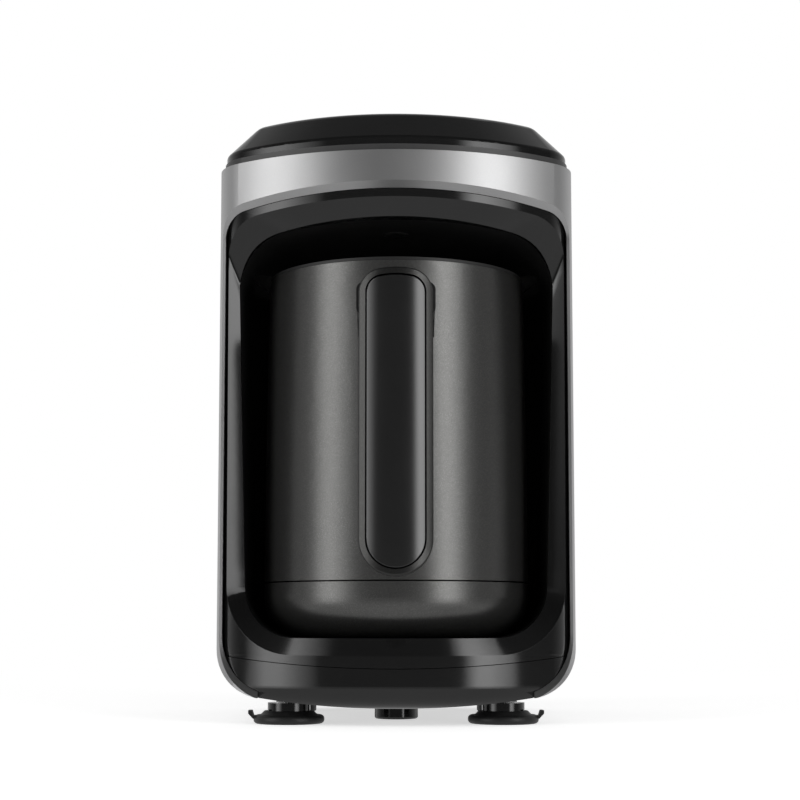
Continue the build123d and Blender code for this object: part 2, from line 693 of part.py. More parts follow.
def indicator_lenses():
    """Three clear rods from just above the lights to the lid's top."""
    foot = board_z() + BOARD_T + LED_H + TOUCH
    return Compound([disc(LENS_R, foot, TOP_Z, x, BUTTON_Y - LENS_AHEAD) for x in button_places()])


def indicator_leds():
    """Three chip lights on the board."""
    low = board_z() + BOARD_T
    y = BUTTON_Y - LENS_AHEAD
    return Compound([block(x - LED_W / 2, x + LED_W / 2, y - LED_D / 2, y + LED_D / 2, low, low + LED_H)
                     for x in button_places()])


def buzzer():
    """Round sounder at the back of the board."""
    low = board_z() + BOARD_T
    y = BUTTON_Y + CONTROL_D / 2 - BUZZER_R - BUZZER_INSET
    return disc(BUZZER_R, low, low + BUZZER_H, 0, y)


def upper_chassis():
    """Plate over the chamber that carries lid and control board."""
    plate = along_z(body_plan(SHELL_WALL + CHASSIS_ROOM), CHASSIS_Z, CHASSIS_Z + CHASSIS_T)
    for x, y in board_places():
        plate += disc(POST_R, CHASSIS_Z, board_z(), x, y)
        plate -= disc(SCREW_R + BORE_FIT, board_z() - SCREW_BITE, board_z() + 1, x, y)
    for x, y in corners(CHASSIS_SCREW_X, CHASSIS_SCREW_FRONT, CHASSIS_SCREW_REAR) + lid_screw_places():
        plate -= disc(SCREW_R + BORE_FIT, CHASSIS_Z - 1, CHASSIS_Z + CHASSIS_T + 1, x, y)
    wiring = Pos(0, CHAMBER_R + REAR_BAY / 3) * Rectangle(WIRING_W, WIRING_D)
    return plate - along_z(wiring, CHASSIS_Z - 1, CHASSIS_Z + CHASSIS_T + 1)


# ---- foam sensor ----
def foam_sensor():
    """Optical module on the chamber's roof."""
    low = LINER_TOP_Z + TOUCH
    half = SENSOR_W / 2
    return block(-half, half, SENSOR_Y - SENSOR_D / 2, SENSOR_Y + SENSOR_D / 2, low, low + SENSOR_H)


def sensor_window():
    """Dark lens flush with the chamber's roof."""
    return disc(WINDOW_R, ROOF_Z - WINDOW_PROUD, LINER_TOP_Z, 0, SENSOR_Y)


# ---- power board ----
def power_face():
    """Front face of the upright power board."""
    return REAR - SHELL_WALL - POWER_LEADS - BOARD_T - HEAD_H


def power_places():
    """X and Z of the power board's four posts."""
    x = POWER_W / 2 - POST_R
    low = FLOOR_Z + POWER_Z
    return [(side * x, z) for side in (-1, 1) for z in (low + POST_R, low + POWER_H - POST_R)]


def power_board():
    """Upright circuit board behind the chamber."""
    low = FLOOR_Z + POWER_Z
    y = power_face()
    board = block(-POWER_W / 2, POWER_W / 2, y, y + BOARD_T, low, low + POWER_H)
    for x, z in power_places():
        board -= rod(SCREW_R + BORE_FIT, y - 1, y + BOARD_T + 1, x, z)
    return board


def on_power_board(x, z, wide, tall, deep):
    """Block-shaped component on the front of the power board."""
    z0 = FLOOR_Z + POWER_Z + z
    return block(x - wide / 2, x + wide / 2, power_face() - deep, power_face(), z0, z0 + tall)


# ---- socket at the back of the chamber ----
def plug_level():
    """Height of the plug's middle."""
    return POT_Z + PLUG_Z


def plug_mouth():
    """Depth of the plug's rear opening."""
    return POT_R + PLUG_PROUD


def socket_nose(grow, y0, y1):
    """Rounded nose of the socket, larger all round by grow."""
    wide = PLUG_W - 2 * PLUG_WALL - 2 * SLIDE + 2 * grow
    tall = PLUG_H - 2 * PLUG_WALL - 2 * SLIDE + 2 * grow
    return along_y(Pos(0, plug_level()) * RectangleRounded(wide, tall, SOCKET_NOSE_R), y0, y1)


def socket_block():
    """Three-way socket: a nose into the chamber and a flange behind the wall."""
    seat = CHAMBER_R + LINER_WALL + TOUCH
    body = socket_nose(0, plug_mouth() - SOCKET_NOSE, seat + SOCKET_FLANGE)
    flange = RectangleRounded(PLUG_W + SOCKET_FLANGE_SIDE, PLUG_H + SOCKET_FLANGE_SIDE / 2, SOCKET_FLANGE_R)
    body += along_y(Pos(0, plug_level()) * flange, seat, seat + SOCKET_FLANGE)
    for x in pin_places():
        body -= rod(PIN_R + SLIDE + CONTACT_WALL + TOUCH, plug_mouth() - SOCKET_NOSE - 1, seat, x, plug_level())
    return body


def pin_places():
    """X of the three contacts."""
    return [step * PIN_PITCH for step in (-1, 0, 1)]


def socket_contacts():
    """Brass sleeves inside the socket."""
    y0, y1 = plug_mouth() - SOCKET_NOSE + CONTACT_SET_BACK, CHAMBER_R + LINER_WALL
    outer_r, inner_r, level = PIN_R + SLIDE + CONTACT_WALL, PIN_R + SLIDE, plug_level()
    return Compound([rod(outer_r, y0, y1, x, level) - rod(inner_r, y0 - 1, y1 - CONTACT_FLOOR, x, level)
                     for x in pin_places()])


# ---- cord inlet ----
def gland_level():
    """Height of the cord inlet."""
    return FLOOR_Z - COVER_DROP + INLET_RISE


def cord_gland():
    """Flanged bush through the rear cover."""
    wall = REAR - SHELL_WALL
    gland = rod(GLAND_R, wall - GLAND_TAIL, REAR + GLAND_PROUD, 0, gland_level())
    gland += rod(GLAND_FLANGE_R, wall - GLAND_TAIL, wall - TOUCH, 0, gland_level())
    return gland - rod(INLET_BORE_R, wall - GLAND_TAIL - 1, REAR + GLAND_PROUD + 1, 0, gland_level())


def clamp_y():
    """Depth of the cord clamp, in the middle of the rear bay."""
    return CHAMBER_R + LINER_WALL + REAR_BAY / 2


def clamp_places():
    """X of the clamp's two screws."""
    return [-(CLAMP_W / 2 - POST_R), CLAMP_W / 2 - POST_R]


def clamp_foot():
    """Height at which the clamp's bridge sits on its posts."""
    return GROUND_GAP + TRAY_WALL + CLAMP_POST_H


def cord_clamp():
    """Bridge that holds the cord down on the tray, grooved underneath."""
    y, low = clamp_y(), clamp_foot()
    bridge = block(-CLAMP_W / 2, CLAMP_W / 2, y - CLAMP_D / 2, y + CLAMP_D / 2, low, low + CLAMP_T)
    bridge -= rod(INLET_BORE_R, y - CLAMP_D, y + CLAMP_D, 0, low - CLAMP_T / 4)
    for x in clamp_places():
        bridge -= disc(SCREW_R + BORE_FIT, low - 1, low + CLAMP_T + 1, x, y)
    return bridge


def clamp_screws():
    """Two screws down through the clamp."""
    top = clamp_foot() + CLAMP_T
    return Compound([screw_down(top - CLAMP_T - SCREW_BITE, top, x, clamp_y()) for x in clamp_places()])


# ---- pot ----
def pot_radius_form(grow, z0, z1):
    """Outside form of the pot's body: a slight barrel that narrows towards the rim."""
    side = ThreePointArc((POT_R + grow, PARTING_Z), (POT_MID_R + grow, (PARTING_Z + RIM_Z) / 2),
                         (POT_RIM_R + grow, RIM_Z))
    base = Polyline((POT_RIM_R + grow, RIM_Z), (0, RIM_Z), (0, PARTING_Z), (POT_R + grow, PARTING_Z))
    form = revolve(Plane.XZ * make_face([*side.edges(), *base.edges()]), Axis.Z)
    return form & disc(2 * POT_R, z0, z1)


def lip_loft(thin, lift, reach):
    """Pouring lip along +X: a keeled wedge from inside the wall to the tip."""
    root = VESSEL_R + LIP_ROOT
    sections = []
    for x, half, top, depth in (
        (root, LIP_ROOT_HALF, 0.0, LIP_ROOT_DEPTH),
        (POT_RIM_R + LIP_OUT + reach, LIP_TIP_HALF, LIP_RISE, LIP_TIP_DEPTH),
    ):
        mouth, keel = half - thin, (half - thin) * LIP_KEEL
        high, low = RIM_Z + top + lift, RIM_Z + top - depth + thin
        shape = make_face(Polyline((-mouth, high), (-keel, low), (keel, low), (mouth, high), close=True))
        sections.append(Plane.YZ.offset(x) * shape)
    return loft(sections, ruled=True)


def lip_channel():
    """Open channel of the right-hand lip, run back through the wall."""
    channel = lip_loft(LIP_WALL, LIP_OPEN_RISE, LIP_OPEN_REACH)
    half, low = LIP_NOTCH_HALF, RIM_Z - LIP_NOTCH_DEPTH
    return channel + block(VESSEL_R - half, VESSEL_R + LIP_ROOT + LIP_OVERLAP, -half, half, low, RIM_Z + CUT)


def pot_shell():
    """Satin outer body with a pouring lip on each side."""
    top = RIM_Z - RIM_T - RIM_LAP
    shell = pot_radius_form(0, PARTING_Z + POT_GROOVE / 2, top)
    lip = lip_loft(0, 0, 0)
    for solid in both_sides(lip):
        shell += solid
    shell -= pot_radius_form(-POT_WALL, PARTING_Z - 1, RIM_Z + 1)
    shell -= disc(POT_RIM_R - POT_WALL, RIM_Z - CUT, RIM_Z + CUT)
    for solid in both_sides(lip_channel()):
        shell -= solid
    shell -= disc(POT_RIM_R, top, RIM_Z + CUT)
    for x in bracket_screw_places():
        shell -= rod(SCREW_R + BORE_FIT, -POT_R - 1, -VESSEL_R, x, bracket_level())
    return shell


def pot_vessel():
    """Drawn steel vessel with a rolled rim."""
    foot = vessel_floor()
    outer = disc(VESSEL_R, foot, RIM_Z - RIM_T)
    outer = fillet(outer.faces().sort_by(Axis.Z)[0].edges(), VESSEL_CORNER_R)
    inner = disc(VESSEL_R - VESSEL_WALL, foot + VESSEL_WALL, RIM_Z)
    inner = fillet(inner.faces().sort_by(Axis.Z)[0].edges(), VESSEL_CORNER_R - VESSEL_WALL)
    vessel = outer + disc(POT_RIM_R, RIM_Z - RIM_T, RIM_Z)
    vessel -= inner + disc(VESSEL_R - VESSEL_WALL, RIM_Z - CUT, RIM_Z + 1)
    for solid in both_sides(lip_loft(LIP_WALL / 2, LIP_OPEN_RISE, LIP_OPEN_REACH) + lip_channel()):
        vessel -= solid
    return vessel


def vessel_floor():
    """Underside of the steel vessel."""
    return PARTING_Z - POT_GROOVE - TOUCH


def pot_base_cap():
    """Base cap: rounded foot, open top, notch for the plug at the back."""
    top = PARTING_Z - POT_GROOVE / 2
    cap = disc(POT_R, POT_Z, top)
    cap = fillet(cap.faces().sort_by(Axis.Z)[0].edges(), CAP_CORNER_R)
    hollow = disc(POT_R - CAP_WALL, POT_Z + CAP_WALL, top + 1)
    hollow = fillet(hollow.faces().sort_by(Axis.Z)[0].edges(), CAP_CORNER_R - CAP_WALL)
    cap -= hollow
    cap += disc(THERMOSTAT_R, POT_Z + CAP_WALL / 2, thermostat_z())
    return cap - plug_prism(TOUCH, plug_mouth() - PLUG_DEPTH - 2, POT_R + CUT)


def plate_z():
    """Underside of the heat plate."""
    return vessel_floor() - PLATE_T - TOUCH


def heat_plate():
    """Aluminium disc pressed against the vessel's floor."""
    return disc(PLATE_R, plate_z(), plate_z() + PLATE_T)


def heating_element():
    """Tubular element, an open ring clamped under the plate."""
    ring = Pos(ELEMENT_R, 0, plate_z() - TOUCH - ELEMENT_WIRE_R) * Rot(90, 0, 0) * Circle(ELEMENT_WIRE_R)
    start = 90 + (360 - ELEMENT_SWEEP) / 2
    return Rot(0, 0, start) * revolve(ring, Axis.Z, ELEMENT_SWEEP)


def thermostat_z():
    """Underside of the thermostat."""
    return plate_z() - TOUCH - THERMOSTAT_H


def thermostat():
    """Round cut-out pressed against the plate's middle."""
    return disc(THERMOSTAT_R, thermostat_z() + TOUCH, plate_z() - TOUCH)


def plug_prism(grow, y0, y1):
    """Rounded outline of the plug's shroud."""
    shape = RectangleRounded(PLUG_W + 2 * grow, PLUG_H + 2 * grow, PLUG_CORNER_R + grow)
    return along_y(Pos(0, plug_level()) * shape, y0, y1)


def plug_shroud():
    """Recessed housing round the pot's three pins."""
    back = plug_mouth() - PLUG_DEPTH
    shroud = plug_prism(0, back, plug_mouth())
    inside = RectangleRounded(PLUG_W - 2 * PLUG_WALL, PLUG_H - 2 * PLUG_WALL, PLUG_CORNER_R - PLUG_WALL)
    shroud -= along_y(Pos(0, plug_level()) * inside, back + PLUG_WALL, plug_mouth() + 1)
    for x in pin_places():
        shroud -= rod(PIN_R + TOUCH, back - 1, plug_mouth(), x, plug_level())
    return shroud


def plug_pins():
    """Three brass pins, recessed behind the plug's mouth."""
    back = plug_mouth() - PLUG_DEPTH
    return Compound([rod(PIN_R, back, back + PLUG_WALL + PIN_LEN, x, plug_level()) for x in pin_places()])


# ---- handle ----
def grip_outline(inset=0.0):
    """Front view of the grip: flat-arched head, round foot."""
    half = GRIP_W / 2 - inset
    low = POT_Z + GRIP_LOW
    return panel(half, half, low + inset, low + GRIP_H - inset, None, GRIP_TOP_BOW - inset,
                 half - END_EASE, GRIP_TOP_R - inset)


def grip_face():
    """Depth of the grip's front face."""
    return -HANDLE_REACH


def handle_grip():
    """Load-bearing bar behind trim and panel, rounded towards the fingers."""
    back = grip_face() + GRIP_T
    grip = along_y(grip_outline(), grip_face() + TRIM_T + TOUCH, back)
    grip = fillet(grip.faces().sort_by(Axis.Y)[-1].edges(), GRIP_BACK_R)
    for x in bracket_screw_places():
        grip -= rod(SCREW_R + BORE_FIT, grip_face(), back + 1, x, bracket_level())
        grip -= rod(HEAD_R + BORE_FIT, grip_face(), grip_face() + TRIM_T + HEAD_H + TOUCH, x, bracket_level())
    return grip


def crowned_face(inset):
    """Upright cylinder behind the handle's crowned face, moved in by inset."""
    half = GRIP_W / 2
    radius = (half**2 + FACE_CROWN**2) / (2 * FACE_CROWN)
    return disc(radius - inset, 0, TOP_Z, 0, grip_face() + radius)


def handle_trim():
    """Dark ring round the grip's crowned face."""
    form = along_y(grip_outline(), grip_face(), grip_face() + TRIM_T) & crowned_face(0)
    front = form.edges().filter_by(lambda edge: edge.center().Y < grip_face() + FACE_CROWN + TOUCH)
    form = fillet(front, TRIM_EDGE_R)
    return form - along_y(grip_outline(TRIM_W), grip_face() - 1, grip_face() + TRIM_T + 1)


def handle_panel():
    """Crowned gloss insert inside the ring."""
    form = along_y(grip_outline(TRIM_W + GROOVE), grip_face(), grip_face() + TRIM_T)
    form &= crowned_face(GROOVE / 2)
    front = form.edges().filter_by(lambda edge: edge.center().Y < grip_face() + FACE_CROWN)
    return fillet(front, TRIM_EDGE_R / 2)


def bracket_level():
    """Height of the bracket's screws."""
    return RIM_Z - BRACKET_DROP - BRACKET_H / 2


def bracket_screw_places():
    """X of the bracket's two screws at each end."""
    return [-BRACKET_W / 4, BRACKET_W / 4]


def handle_bracket():
    """Arm from pot to grip, deeper where it meets the pot."""
    top = RIM_Z - BRACKET_DROP
    near, far = -POT_RIM_R + BRACKET_ROOT, grip_face() + GRIP_T + TOUCH
    side = make_face(Polyline((far, top), (near, top), (near, top - BRACKET_H - BRACKET_SWELL),
                              (near - 2 * BRACKET_SWELL, top - BRACKET_H), (far, top - BRACKET_H), close=True))
    arm = extrude(Plane.YZ.offset(-BRACKET_W / 2) * side, BRACKET_W)
    long_edges = arm.edges().filter_by(Axis.Y).group_by(Axis.Z)
    arm = fillet(long_edges[-1] + long_edges[0], BRACKET_EDGE_R)
    arm -= pot_radius_form(TOUCH, PARTING_Z, RIM_Z)
    for x in bracket_screw_places():
        arm -= rod(SCREW_R + BORE_FIT, far - 1, near + 1, x, bracket_level())
    return arm


def handle_screws():
    """Two screws hidden behind the panel, driven into the bracket."""
    seat = grip_face() + TRIM_T + HEAD_H + TOUCH
    return Compound([rod(HEAD_R, seat - HEAD_H, seat, x, bracket_level())
                     + rod(SCREW_R, seat, seat + GRIP_T, x, bracket_level()) for x in bracket_screw_places()])


def bracket_screws():
    """Two screws from inside the outer body into the bracket."""
    screws = []
    for x in bracket_screw_places():
        seat = -sqrt((POT_RIM_R - POT_WALL) ** 2 - (abs(x) + HEAD_R) ** 2) + TOUCH
        screws.append(rod(HEAD_R, seat, seat + LOW_HEAD_H, x, bracket_level())
                      + rod(SCREW_R, seat - BRACKET_H, seat, x, bracket_level()))
    return Compound(screws)


# ---- feet ----
def foot_places():
    """X and Y of the two suction feet, the two rear feet and the centre foot."""
    places = [(side * CUP_X, CUP_Y) for side in (-1, 1)]
    places += [(side * STUB_X, STUB_Y) for side in (-1, 1)]
    return places + [(0, CENTRE_FOOT_Y)]


def suction_cups():
    """Two rubber cups, each with a pull tab pointing outwards."""
    shoulder = CUP_H - CUP_BRIM_R
    collar_r = CUP_POST_R + CUP_COLLAR
    cup = disc(CUP_R, 0, shoulder)
    cup = fillet(cup.edges().filter_by(GeomType.CIRCLE), CUP_BRIM_R)
    cup += Pos(0, 0, CUP_BRIM_R) * Cone(CUP_R - CUP_BRIM_R / 2, collar_r, CUP_H - CUP_BRIM_R, align=UP)
    cup -= Cone(CUP_R - 2 * CUP_BRIM_R, collar_r / 2, CUP_HOLLOW, align=UP)
    root, tip = CUP_R - 2 * CUP_BRIM_R, CUP_R + TAB_REACH
    low, high = shoulder - CUP_BRIM_R, shoulder + TAB_RISE
    curl = make_face(Polyline((-root, low), (-CUP_R, low), (-tip, high - TAB_T), (-tip, high),
                              (-tip + TAB_T, high), (-CUP_R, low + TAB_T), (-root, low + TAB_T), close=True))
    cup += along_y(curl, -TAB_W / 2, TAB_W / 2)
    return Compound(both_sides(Pos(-CUP_X, CUP_Y, 0) * cup))


def cup_posts():
    """Two posts that carry the suction cups, with a spigot into the tray."""
    post = disc(CUP_POST_R, CUP_H, foot_seat(CUP_X, CUP_POST_R)) + disc(SCREW_R, CUP_H, spigot_top(CUP_X))
    return Compound(both_sides(Pos(-CUP_X, CUP_Y, 0) * post))


def foot_seat(x, radius):
    """Highest level at which a flat-topped foot clears the crowned underside."""
    inner = max(abs(x) - radius, 0)
    return GROUND_GAP + CROWN_R - sqrt(CROWN_R**2 - inner**2) - TOUCH


def spigot_top(x):
    """Level that a foot's spigot reaches, above the crowned underside."""
    return tray_floor(x) + SPIGOT


def stub(x, y):
    """Rubber stub foot with a rounded rim and a spigot into the tray."""
    top = foot_seat(x, STUB_R)
    foot = disc(STUB_R, 0, top)
    foot = fillet(foot.edges().sort_by(Axis.Z)[0], STUB_LIP)
    return Pos(x, y, 0) * (foot + disc(SCREW_R, 0, spigot_top(x)))


def rear_feet():
    """Two rear feet."""
    return Compound([stub(side * STUB_X, STUB_Y) for side in (-1, 1)])


# ---- screws ----
def base_screws():
    """Four screws up through the tray's posts."""
    places = corners(BASE_SCREW_X, BASE_SCREW_FRONT, BASE_SCREW_REAR)
    return Compound([screw_up(base_head_z(), FLOOR_Z - LINER_WALL, x, y) for x, y in places])


def chassis_screws():
    """Four screws down into the liner's posts."""
    places = corners(CHASSIS_SCREW_X, CHASSIS_SCREW_FRONT, CHASSIS_SCREW_REAR)
    return Compound([screw_down(LINER_TOP_Z + 2, CHASSIS_Z + CHASSIS_T, x, y) for x, y in places])


def lid_screws():
    """Four screws up through the chassis into the lid's bosses."""
    return Compound([screw_up(CHASSIS_Z, LID_Z + LID_RIM_H - TOUCH, x, y) for x, y in lid_screw_places()])


def board_screws():
    """Four screws down through the control board."""
    top = board_z() + BOARD_T
    return Compound([screw_down(board_z() - SCREW_BITE + TOUCH, top, x, y) for x, y in board_places()])


def rear_screws():
    """Four screws through the rear cover."""
    seat = REAR - SHELL_WALL / 2
    reach = REAR - SHELL_WALL - cover_screw_grip()
    return Compound([rod(HEAD_R, seat, REAR, x, z) + rod(SCREW_R, reach, seat, x, z)
                     for x, z in cover_screw_places()])


def power_screws():
    """Four screws through the power board."""
    seat = power_face() + BOARD_T
    return Compound([rod(HEAD_R, seat, seat + HEAD_H, x, z) + rod(SCREW_R, power_face(), seat, x, z)
                     for x, z in power_places()])


NODES = {
    "outer_shell": outer_shell,
    "rear_cover": rear_cover,
    "front_bezel": front_bezel,
    "chamber_liner": chamber_liner,
    "base_tray": base_tray,
    "lid_trim": lid_trim,
    "top_lid": top_lid,
    "upper_chassis": upper_chassis,
    "control_board": control_board,
    "coffee_button": lambda: button(button_places()[0]),
    "milk_button": lambda: button(button_places()[1]),
    "slow_brew_button": lambda: button(button_places()[2]),
    "coffee_key_dome": lambda: keypad_dome(button_places()[0]),
    "milk_key_dome": lambda: keypad_dome(button_places()[1]),
    "slow_brew_key_dome": lambda: keypad_dome(button_places()[2]),
    "indicator_lenses": indicator_lenses,
    "indicator_leds": indicator_leds,
    "buzzer": buzzer,
    "foam_sensor": foam_sensor,
    "sensor_window": sensor_window,
    "power_board": power_board,
    "transformer": lambda: on_power_board(*TRANSFORMER),
    "relay": lambda: on_power_board(*RELAY),
    "filter_capacitor": lambda: on_power_board(*CAPACITOR),
    "socket_block": socket_block,
    "socket_contacts": socket_contacts,
    "cord_gland": cord_gland,
    "cord_clamp": cord_clamp,
    "clamp_screws": clamp_screws,
    "suction_cups": suction_cups,
    "cup_posts": cup_posts,
    "rear_feet": rear_feet,
    "centre_foot": lambda: stub(0, CENTRE_FOOT_Y),
    "base_screws": base_screws,
    "chassis_screws": chassis_screws,
    "lid_screws": lid_screws,
    "board_screws": board_screws,
    "rear_screws": rear_screws,
    "power_screws": power_screws,
    "pot_shell": pot_shell,
    "pot_vessel": pot_vessel,
    "pot_base_cap": pot_base_cap,
    "heat_plate": heat_plate,
    "heating_element": heating_element,
    "thermostat": thermostat,
    "plug_shroud": plug_shroud,
    "plug_pins": plug_pins,
    "handle_grip": handle_grip,
    "handle_trim": handle_trim,
    "handle_panel": handle_panel,
    "handle_bracket": handle_bracket,
    "handle_screws": handle_screws,
    "bracket_screws": bracket_screws,
}

os.makedirs("parts", exist_ok=True)
for name, make in NODES.items():
    export_step(Pos(0, POT_Y, 0) * make(), f"parts/{name}.step")
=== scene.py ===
"""Electric turkish coffee maker: finishes, front frame, key domes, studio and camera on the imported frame.

Shapes are drawn in millimetres, the front frame about the pot's upright axis with its front towards -Y,
and moved into the row frame last.
"""

import math

import bmesh
import bpy
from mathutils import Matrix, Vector


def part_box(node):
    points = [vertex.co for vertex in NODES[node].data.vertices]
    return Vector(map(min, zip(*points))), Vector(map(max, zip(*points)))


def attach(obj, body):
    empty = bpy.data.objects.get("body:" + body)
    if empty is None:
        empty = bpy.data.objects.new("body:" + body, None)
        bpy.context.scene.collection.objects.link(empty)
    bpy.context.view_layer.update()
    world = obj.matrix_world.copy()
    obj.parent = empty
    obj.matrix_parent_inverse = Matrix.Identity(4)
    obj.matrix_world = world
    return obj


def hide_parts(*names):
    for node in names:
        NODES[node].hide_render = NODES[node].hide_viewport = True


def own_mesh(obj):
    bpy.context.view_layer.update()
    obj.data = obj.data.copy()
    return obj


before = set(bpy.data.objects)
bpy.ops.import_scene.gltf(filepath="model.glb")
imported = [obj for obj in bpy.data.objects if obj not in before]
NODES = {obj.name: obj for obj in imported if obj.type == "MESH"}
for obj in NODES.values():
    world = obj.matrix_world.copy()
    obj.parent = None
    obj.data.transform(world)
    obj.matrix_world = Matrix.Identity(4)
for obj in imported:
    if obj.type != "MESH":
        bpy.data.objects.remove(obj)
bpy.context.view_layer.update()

MM = 0.001
POT_Y = -3.3  # pot axis in the row frame
WHITE = (1.0, 1.0, 1.0, 1.0)
COLOUR_A, COLOUR_B, COLOUR_RESULT = 6, 7, 2  # sockets of the Mix node by number, as their names repeat


# ---- node trees ----
def lay_stops(elements, stops):
    """Grey stops on a new colour ramp, which has two."""
    while len(elements) < len(stops):
        elements.new(0.5)
    for element, (place, level) in zip(elements, stops):
        element.position = place
        element.color = (level, level, level, 1)


class Wire:
    """One output socket of a node tree that is being built; arithmetic on it adds Math nodes."""

    def __init__(self, tree, socket=None):
        self.tree = tree
        self.socket = socket

    def add(self, kind, settings=(), inputs=(), out=0):
        """A new node: its settings are made first, then its inputs are set or linked."""
        node = self.tree.nodes.new(kind)
        for key, value in dict(settings).items():
            if key == "stops":
                lay_stops(node.color_ramp.elements, value)
            else:
                setattr(node, key, value)
        for key, value in dict(inputs).items():
            if isinstance(value, Wire):
                self.tree.links.new(value.socket, node.inputs[key])
            else:
                node.inputs[key].default_value = value
        return Wire(self.tree, node.outputs[out] if node.outputs else None)

    def reckon(self, operation, first, second):
        """Math node on two values."""
        return self.add("ShaderNodeMath", {"operation": operation}, {0: first, 1: second})

    def __add__(self, other):
        return self.reckon("ADD", self, other)

    __radd__ = __add__

    def __sub__(self, other):
        return self.reckon("SUBTRACT", self, other)

    def __rsub__(self, other):
        return self.reckon("SUBTRACT", other, self)

    def __mul__(self, other):
        return self.reckon("MULTIPLY", self, other)

    __rmul__ = __mul__


def emptied_tree(holder):
    """Wire of a material's, lamp's or world's node tree, with nothing in it yet."""
    holder.use_nodes = True
    holder.node_tree.nodes.clear()
    return Wire(holder.node_tree)


def object_place(wire):
    """Object coordinates, in metres."""
    return wire.add("ShaderNodeTexCoord", out="Object")


def noise(wire, place, scale, detail=3.0, rough=0.5):
    """Grey noise from 0 to 1 at so many cycles a metre."""
    inputs = {"Vector": place, "Scale": scale, "Detail": detail, "Roughness": rough}
    return wire.add("ShaderNodeTexNoise", (), inputs)


def ramped(wire, value, start, full, low=0.0, high=1.0, ease="LINEAR"):
    """Value that goes from low to high while another goes from start to full."""
    inputs = {"Value": value, "From Min": start, "From Max": full, "To Min": low, "To Max": high}
    return wire.add("ShaderNodeMapRange", {"interpolation_type": ease}, inputs)


def tint(wire, mask, low, high):
    """Colour between two, by a mask."""
    inputs = {"Factor": mask, COLOUR_A: (*low, 1), COLOUR_B: (*high, 1)}
    return wire.add("ShaderNodeMix", {"data_type": "RGBA"}, inputs, out=COLOUR_RESULT)


def glow(wire, strength):
    """White light given off."""
    return wire.add("ShaderNodeEmission", (), {"Color": WHITE, "Strength": strength})


# ---- finishes ----
# scales are in cycles a metre, reliefs in millimetres
SATIN_CLOUD_SCALE, MATT_CLOUD_SCALE = 45.0, 60.0
HAZE_SCALE, PEEL_SCALE, SPECK_SCALE = 30.0, 420.0, 2600.0
FLAKE_SCALE, LACQUER_SCALE = 9000.0, 5200.0
RING_SCALE = 900.0
SATIN_RELIEF, PEEL_RELIEF, LACQUER_RELIEF, RING_RELIEF = 0.012, 0.004, 0.007, 0.006
SATIN_SPREAD, MATT_SPREAD, LACQUER_SPREAD = 0.06, 0.12, 0.08  # how far roughness varies
HAZE_DULLING, SPECK_DULLING, RING_DULLING, RIM_DULLING = 0.05, 0.02, 0.08, 0.2  # added to roughness
HAZE_LIFT = 0.002  # added to a black by handling haze
FLAKE_STOPS = ((0.0, 0.0), (0.8, 0.15), (1.0, 1.0))  # most flakes stay dim, a few are bright
LACQUER_METAL = 0.85
RIM_START, RIM_FULL = 50.9, 51.2  # radii between which the vessel's rim turns black
RIM_METAL_LOSS = 0.6


def blank(name):
    """Empty material and its tree's wire."""
    finish = bpy.data.materials.new(name)
    return finish, emptied_tree(finish)


def shade(wire, colour, rough, height, relief, **sockets):
    """Surface shader with a relief in millimetres; constants go straight onto its sockets."""
    bump = wire.add("ShaderNodeBump", (), {"Height": height, "Distance": relief * MM, "Strength": 1.0})
    inputs = {"Base Color": colour, "Roughness": rough, "Normal": bump, **sockets}
    surface = wire.add("ShaderNodeBsdfPrincipled", (), inputs)
    wire.add("ShaderNodeOutputMaterial", (), {"Surface": surface})


def scaled(base, factor):
    """Colour made darker or lighter."""
    return [min(part * factor, 1) for part in base]


def spread(rough, span, mask):
    """Roughness that varies over a span about its middle value."""
    return rough - span / 2 + span * mask


def satin_silver(name, base, rough, grain):
    """Metallic lacquer: fine flake in colour and relief, faint cloudiness in its gloss."""
    finish, wire = blank(name)
    place = object_place(wire)
    flake = noise(wire, place, grain, detail=2.0, rough=0.6)
    cloud = noise(wire, place, SATIN_CLOUD_SCALE)
    colour = tint(wire, flake, scaled(base, 0.9), scaled(base, 1.1))
    shade(wire, colour, spread(rough, SATIN_SPREAD, cloud), flake, SATIN_RELIEF, Metallic=1.0)
    return finish


def gloss_plastic(name, base, rough, ior=1.5):
    """Polished moulded plastic: faint orange peel and handling haze."""
    finish, wire = blank(name)
    place = object_place(wire)
    haze = noise(wire, place, HAZE_SCALE, detail=4.0, rough=0.6)
    peel = noise(wire, place, PEEL_SCALE, detail=2.0)
    speck = noise(wire, place, SPECK_SCALE, detail=1.0)
    colour = tint(wire, haze, base, [part * 1.5 + HAZE_LIFT for part in base])
    roughness = rough + HAZE_DULLING * haze * haze + SPECK_DULLING * speck
    shade(wire, colour, roughness, peel, PEEL_RELIEF, IOR=ior)
    return finish


def moulded_plastic(name, base, rough, grain, relief):
    """Matt plastic with a spark-eroded grain."""
    finish, wire = blank(name)
    place = object_place(wire)
    grit = noise(wire, place, grain, rough=0.65)
    cloud = noise(wire, place, MATT_CLOUD_SCALE)
    colour = tint(wire, cloud, scaled(base, 0.8), scaled(base, 1.25))
    shade(wire, colour, spread(rough, MATT_SPREAD, grit), grit, relief)
    return finish


